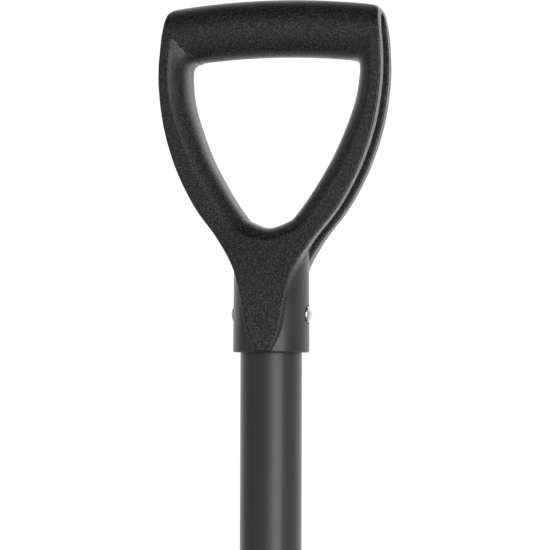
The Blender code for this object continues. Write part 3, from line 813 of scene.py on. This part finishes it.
class Finish:
    """A procedural material, and short ways to add its nodes."""

    def __init__(self, name, roughness, metallic=0.0, specular=0.5):
        self.material = bpy.data.materials.new(name)
        self.material.use_nodes = True
        self.nodes = self.material.node_tree.nodes
        self.links = self.material.node_tree.links
        self.shader = self.nodes["Principled BSDF"]
        self.shader.inputs["Roughness"].default_value = roughness
        self.shader.inputs["Metallic"].default_value = metallic
        self.shader.inputs["Specular IOR Level"].default_value = specular
        self.place = self.nodes.new("ShaderNodeTexCoord").outputs["Object"]
        self.surface = None

    def scaled(self, scale):
        """Places on the object, stretched along each axis."""
        mapping = self.nodes.new("ShaderNodeMapping")
        mapping.inputs["Scale"].default_value = scale
        self.links.new(self.place, mapping.inputs["Vector"])
        return mapping.outputs["Vector"]

    def noise(self, scale, detail=3.0, rough=0.55, stretch=(1, 1, 1)):
        node = self.nodes.new("ShaderNodeTexNoise")
        node.inputs["Scale"].default_value = scale
        node.inputs["Detail"].default_value = detail
        node.inputs["Roughness"].default_value = rough
        self.links.new(self.scaled(stretch), node.inputs["Vector"])
        return node.outputs["Fac"]

    def attribute(self, name):
        node = self.nodes.new("ShaderNodeAttribute")
        node.attribute_name = name
        return node.outputs["Fac"]

    def math(self, kind, a, b):
        """The result of arithmetic on two values, which may be numbers or sockets."""
        node = self.nodes.new("ShaderNodeMath")
        node.operation = kind
        for socket_in, value in zip(node.inputs, (a, b)):
            if isinstance(value, float):
                socket_in.default_value = value
            else:
                self.links.new(value, socket_in)
        return node.outputs["Value"]

    def span(self, value, low, high, to_low, to_high):
        """A value carried from one range to another, whose ends may be sockets."""
        node = self.nodes.new("ShaderNodeMapRange")
        node.inputs["From Min"].default_value = low
        node.inputs["From Max"].default_value = high
        for key, end in (("To Min", to_low), ("To Max", to_high)):
            if isinstance(end, float):
                node.inputs[key].default_value = end
            else:
                self.links.new(end, node.inputs[key])
        self.links.new(value, node.inputs["Value"])
        return node.outputs["Result"]

    def ramp(self, value, stops):
        """A colour between the given (position, colour) stops."""
        node = self.nodes.new("ShaderNodeValToRGB")
        elements = node.color_ramp.elements
        while len(elements) < len(stops):
            elements.new(0.5)
        for element, (position, colour) in zip(elements, stops):
            element.position = position
            element.color = (*colour, 1)
        self.links.new(value, node.inputs["Fac"])
        return node.outputs["Color"]

    def mix(self, share, a, b):
        node = self.nodes.new("ShaderNodeMix")
        node.data_type = "RGBA"
        self.links.new(share, node.inputs[0])
        self.links.new(a, node.inputs[6])
        self.links.new(b, node.inputs[7])
        return node.outputs[2]

    def bump(self, height, distance, strength=1.0):
        """Adds a bump on top of the ones before it. The strength may be a socket."""
        node = self.nodes.new("ShaderNodeBump")
        node.inputs["Distance"].default_value = distance
        if isinstance(strength, float):
            node.inputs["Strength"].default_value = strength
        else:
            self.links.new(strength, node.inputs["Strength"])
        self.links.new(height, node.inputs["Height"])
        if self.surface:
            self.links.new(self.surface, node.inputs["Normal"])
        self.surface = node.outputs["Normal"]
        self.links.new(self.surface, self.shader.inputs["Normal"])

    def feed(self, name, value):
        """Link a value to one of the shader's inputs."""
        self.links.new(value, self.shader.inputs[name])


def grip_plastic():
    """Black polypropylene: a fine eroded grain, and a smoother, glossier round socket."""
    finish = Finish("grip_plastic", 0.5, specular=0.5)
    smooth = finish.attribute("socket")
    grain = finish.noise(1400.0, 3.0, 0.7)
    patches = finish.noise(60.0, 4.0, 0.6)
    speckle = finish.ramp(grain, [(0.40, (0.001, 0.001, 0.0011)), (0.50, (0.009, 0.009, 0.0092)),
                                  (0.60, (0.062, 0.062, 0.063))])
    plain = finish.ramp(patches, [(0.30, (0.033, 0.033, 0.034)), (0.70, (0.040, 0.040, 0.041))])
    finish.feed("Base Color", finish.mix(smooth, speckle, plain))
    rough = finish.span(grain, 0.35, 0.65, 0.40, 0.24)
    worn = finish.span(patches, 0.35, 0.65, -0.03, 0.03)
    rough = finish.math("ADD", rough, worn)
    finish.feed("Roughness", finish.span(smooth, 0.0, 1.0, rough, 0.36))
    strength = finish.span(smooth, 0.0, 1.0, 0.9, 0.06)
    finish.bump(grain, 0.00022, strength)
    finish.bump(finish.noise(140.0, 2.0), 0.0004, 0.06)
    return finish.material


def shaft_coating():
    """Charcoal powder coat: a soft orange peel, faint specks and light handling marks."""
    finish = Finish("shaft_coating", 0.34)
    peel = finish.noise(700.0, 2.0, 0.5)
    specks = finish.noise(2600.0, 1.0, 0.5)
    marks = finish.noise(90.0, 5.0, 0.65, (1.0, 1.0, 0.12))
    finish.feed("Base Color", finish.mix(
        finish.span(specks, 0.40, 0.62, 0.0, 1.0),
        finish.ramp(marks, [(0.25, (0.030, 0.031, 0.032)), (0.75, (0.037, 0.038, 0.039))]),
        finish.ramp(marks, [(0.25, (0.038, 0.039, 0.040)), (0.75, (0.046, 0.047, 0.048))])))
    finish.feed("Roughness", finish.span(marks, 0.30, 0.70, 0.30, 0.38))
    finish.bump(peel, 0.00012, 0.10)
    return finish.material


def steel(name, tone, roughness):
    """Bright plated steel with a fine, even bump and dull patches."""
    finish = Finish(name, roughness, metallic=1.0)
    patches = finish.noise(420.0, 4.0, 0.6)
    dark = tuple(0.80 * part for part in tone)
    finish.feed("Base Color", finish.ramp(patches, [(0.30, dark), (0.62, tone)]))
    finish.feed("Roughness", finish.span(patches, 0.30, 0.70, roughness - 0.08, roughness + 0.12))
    finish.bump(finish.noise(3500.0, 2.0), 0.00006, 0.25)
    return finish.material


def core_wood():
    """Turned hardwood with its grain along the shaft."""
    finish = Finish("core_wood", 0.7)
    grain = finish.noise(260.0, 6.0, 0.65, (1.0, 1.0, 0.05))
    pores = finish.noise(1500.0, 2.0, 0.6, (1.0, 1.0, 0.04))
    finish.feed("Base Color", finish.mix(
        finish.span(pores, 0.60, 0.70, 0.0, 1.0),
        finish.ramp(grain, [(0.30, (0.33, 0.21, 0.115)), (0.70, (0.53, 0.37, 0.22))]),
        finish.ramp(grain, [(0.30, (0.17, 0.10, 0.055)), (0.70, (0.26, 0.17, 0.09))])))
    finish.feed("Roughness", finish.span(grain, 0.30, 0.70, 0.62, 0.80))
    finish.bump(pores, 0.0003, 0.4)
    return finish.material


def black_steel(name, tone, with_wear):
    """Black powder coat with an orange peel. Where it is worn, the bare steel shows."""
    finish = Finish(name, 0.42)
    peel = finish.noise(620.0, 2.0, 0.5)
    patches = finish.noise(45.0, 5.0, 0.62)
    light = tuple(1.45 * part for part in tone)
    coat = finish.ramp(patches, [(0.30, tone), (0.70, light)])
    rough = finish.span(patches, 0.30, 0.70, 0.36, 0.48)
    finish.bump(peel, 0.00016, 0.16)
    if not with_wear:
        finish.feed("Base Color", coat)
        finish.feed("Roughness", rough)
        return finish.material
    scratches = finish.noise(240.0, 6.0, 0.7, (1.0, 1.0, 0.10))
    ragged = finish.math("ADD", finish.math("MULTIPLY", finish.attribute("worn"), 1.1),
                         finish.math("MULTIPLY", scratches, 0.75))
    bare = finish.span(ragged, 0.95, 1.35, 0.0, 1.0)
    metal = finish.ramp(scratches, [(0.30, (0.16, 0.16, 0.165)), (0.70, (0.36, 0.36, 0.365))])
    finish.feed("Base Color", finish.mix(bare, coat, metal))
    finish.feed("Metallic", bare)
    finish.feed("Roughness", finish.span(bare, 0.0, 1.0, rough, 0.30))
    finish.bump(scratches, 0.0002, finish.math("MULTIPLY", bare, 0.35))
    return finish.material


def stage_grey():
    """A pale matt floor with faint clouds."""
    finish = Finish("stage_grey", 0.8, specular=0.2)
    clouds = finish.noise(3.0, 3.0)
    finish.feed("Base Color", finish.ramp(clouds, [(0.3, (0.84, 0.84, 0.84)), (0.7, (0.87, 0.87, 0.87))]))
    return finish.material


# ---------------------------------------------------------------- camera, light and floor

VIEW_AZIMUTH = math.radians(13.5)
VIEW_DISTANCE = 1.5
VIEW_LENS = 170.0
VIEW_AIM = Vector((0.0021, 0.0, 0.0448))
VIEW_ROLL = math.radians(0.17)
VIEW_SENSOR = 36.0
LIGHT_HEIGHT = 0.05
# Each soft box's azimuth in degrees, distance, width and height, and power.
SOFT_BOXES = {"key": (38.0, 1.7, (0.9, 1.7), 16), "fill": (16.0, 1.9, (0.7, 1.7), 5)}
OVERHEAD_HEIGHT = 2.5
OVERHEAD_SIZE = (16, 16)
OVERHEAD_POWER = 2000
FLOOR_RADIUS = 8.0
FLOOR_GAP = 0.0005


def make_camera():
    """The photograph's view: level, close to the front, a little from the right."""
    data = bpy.data.cameras.new("camera")
    data.lens = VIEW_LENS
    data.sensor_width = VIEW_SENSOR
    camera = bpy.data.objects.new("camera", data)
    bpy.context.scene.collection.objects.link(camera)
    aim = ORIGIN + VIEW_AIM
    stand = Vector((math.sin(VIEW_AZIMUTH), -math.cos(VIEW_AZIMUTH), 0.0)) * VIEW_DISTANCE
    place = Vector((aim.x + stand.x, aim.y + stand.y, ORIGIN.z))
    forward = (aim - place).normalized()
    turn = forward.to_track_quat("-Z", "Y").to_matrix().to_4x4()
    roll = Matrix.Rotation(VIEW_ROLL, 4, "Z")
    camera.matrix_world = Matrix.Translation(place) @ turn @ roll
    bpy.context.scene.camera = camera


def area_light(name, place, aim, size, power, lights_only):
    """A soft box that lights the objects of one collection only."""
    data = bpy.data.lights.new(name, "AREA")
    data.shape = "RECTANGLE"
    data.size, data.size_y = size
    data.energy = power
    light = bpy.data.objects.new(name, data)
    bpy.context.scene.collection.objects.link(light)
    turn = (Vector(aim) - Vector(place)).to_track_quat("-Z", "Y").to_matrix().to_4x4()
    light.matrix_world = Matrix.Translation(place) @ turn
    light.light_linking.receiver_collection = lights_only
    light.visible_camera = False


BACKDROP_AZIMUTH = math.radians(7.0) - VIEW_AZIMUTH
BACKDROP_WAY = (math.sin(BACKDROP_AZIMUTH), math.cos(BACKDROP_AZIMUTH), 0.0)
FRONT_LEVEL = 0.36
BACK_LEVEL = 0.95
SEEN_LEVEL = 1.05


def make_world():
    """A bright backdrop that wraps around the sides, and a dim room in front of it.
    There is no light straight above or below."""
    world = bpy.data.worlds.new("studio")
    world.use_nodes = True
    nodes, links = world.node_tree.nodes, world.node_tree.links

    def eased(value, start, end, to_start, to_end):
        node = nodes.new("ShaderNodeMapRange")
        node.interpolation_type = "SMOOTHSTEP"
        ends = {"From Min": start, "From Max": end, "To Min": to_start, "To Max": to_end}
        for key, number in ends.items():
            node.inputs[key].default_value = number
        links.new(value, node.inputs["Value"])
        return node.outputs["Result"]

    def combined(kind, a, b):
        node = nodes.new("ShaderNodeMath")
        node.operation = kind
        links.new(a, node.inputs[0])
        links.new(b, node.inputs[1])
        return node.outputs["Value"]

    way = nodes.new("ShaderNodeTexCoord").outputs["Generated"]
    towards = nodes.new("ShaderNodeVectorMath")
    towards.operation = "DOT_PRODUCT"
    towards.inputs[1].default_value = BACKDROP_WAY
    links.new(way, towards.inputs[0])
    split = nodes.new("ShaderNodeSeparateXYZ")
    links.new(way, split.inputs[0])
    height = split.outputs["Z"]
    front = combined("MULTIPLY", eased(height, 0.40, 0.80, FRONT_LEVEL, 0.01),
                     eased(height, -0.98, -0.84, 0.1, 1.0))
    back = combined("MULTIPLY", eased(height, 0.70, 1.0, BACK_LEVEL, 0.04),
                    eased(height, -0.85, -0.15, 0.2, 1.0))
    back = combined("MULTIPLY", back, eased(towards.outputs["Value"], -0.05, 0.80, 0.0, 1.0))
    room = nodes["Background"]
    room.inputs["Color"].default_value = (1.0, 1.0, 1.0, 1)
    links.new(combined("ADD", front, back), room.inputs["Strength"])
    white = nodes.new("ShaderNodeBackground")
    white.inputs["Color"].default_value = (1, 1, 1, 1)
    white.inputs["Strength"].default_value = SEEN_LEVEL
    path = nodes.new("ShaderNodeLightPath")
    mix = nodes.new("ShaderNodeMixShader")
    links.new(path.outputs["Is Camera Ray"], mix.inputs["Fac"])
    links.new(room.outputs["Background"], mix.inputs[1])
    links.new(white.outputs["Background"], mix.inputs[2])
    links.new(mix.outputs["Shader"], nodes["World Output"].inputs["Surface"])
    bpy.context.scene.world = world
    bpy.context.scene.view_settings.view_transform = "Standard"


def make_lights(shovel, stage):
    """A tall soft box on the right of the camera with a dimmer one beside it, and an
    even light over the floor alone."""
    middle = ORIGIN + Vector((0, 0, LIGHT_HEIGHT))
    for name, (azimuth, distance, size, power) in SOFT_BOXES.items():
        area_light(name, polar(middle, azimuth, distance), middle, size, power, shovel)
    overhead = Vector((0, 0, OVERHEAD_HEIGHT))
    area_light("overhead", overhead, Vector((0, 0, 0)), OVERHEAD_SIZE, OVERHEAD_POWER, stage)


def polar(middle, azimuth, distance):
    """A place around the shovel. Azimuth 0 is the front, and it grows to the right."""
    angle = math.radians(azimuth)
    return middle + Vector((distance * math.sin(angle), -distance * math.cos(angle), 0.0))


def make_floor():
    """A round floor just below the blade's tip."""
    mesh = bpy.data.meshes.new("floor")
    shape = bmesh.new()
    bmesh.ops.create_circle(shape, cap_ends=True, radius=FLOOR_RADIUS, segments=96)
    shape.to_mesh(mesh)
    shape.free()
    floor = bpy.data.objects.new("floor", mesh)
    bpy.context.scene.collection.objects.link(floor)
    floor.location.z = CAD_BOUNDS[0][2] - FLOOR_GAP
    floor.visible_glossy = False
    floor.visible_diffuse = False
    mesh.materials.append(stage_grey())
    return floor


# ---------------------------------------------------------------- the whole scene

def dress(piece, material):
    """Give a piece its material."""
    piece.data.materials.append(material)


def dress_node(node, material):
    """Give a CAD node that stays its material."""
    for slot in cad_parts[node].material_slots:
        slot.material = material


def lit_together(name, items):
    """A collection of objects that the same lights reach."""
    group = bpy.data.collections.new(name)
    for item in items:
        group.objects.link(item)
    return group


make_camera()
make_world()
floor = make_floor()

zinc = steel("screw_zinc", (0.66, 0.68, 0.72), 0.26)
coated = black_steel("black_steel", (0.020, 0.020, 0.021), with_wear=True)
dress(make_grip(), grip_plastic())
for side in (-1, 1):
    dress(make_screw(side), zinc)
rivet_finish = steel("rivet_steel", (0.42, 0.43, 0.44), 0.36)
for node in ("socket_rivet_upper", "socket_rivet_lower"):
    dress(make_rivet(node), rivet_finish)
dress(make_blade(), coated)
dress(make_frog_plate(), coated)
dress(make_shaft(), shaft_coating())
dress(make_steel_socket(), black_steel("socket_steel", (0.020, 0.020, 0.021), with_wear=False))
dress(make_ferrule(), black_steel("ferrule_steel", (0.014, 0.014, 0.015), with_wear=False))
dress_node("shaft_core", core_wood())
shovel = [item for item in bpy.data.objects if item.type == "MESH" and item != floor]
make_lights(lit_together("shovel", shovel), lit_together("stage", [floor]))
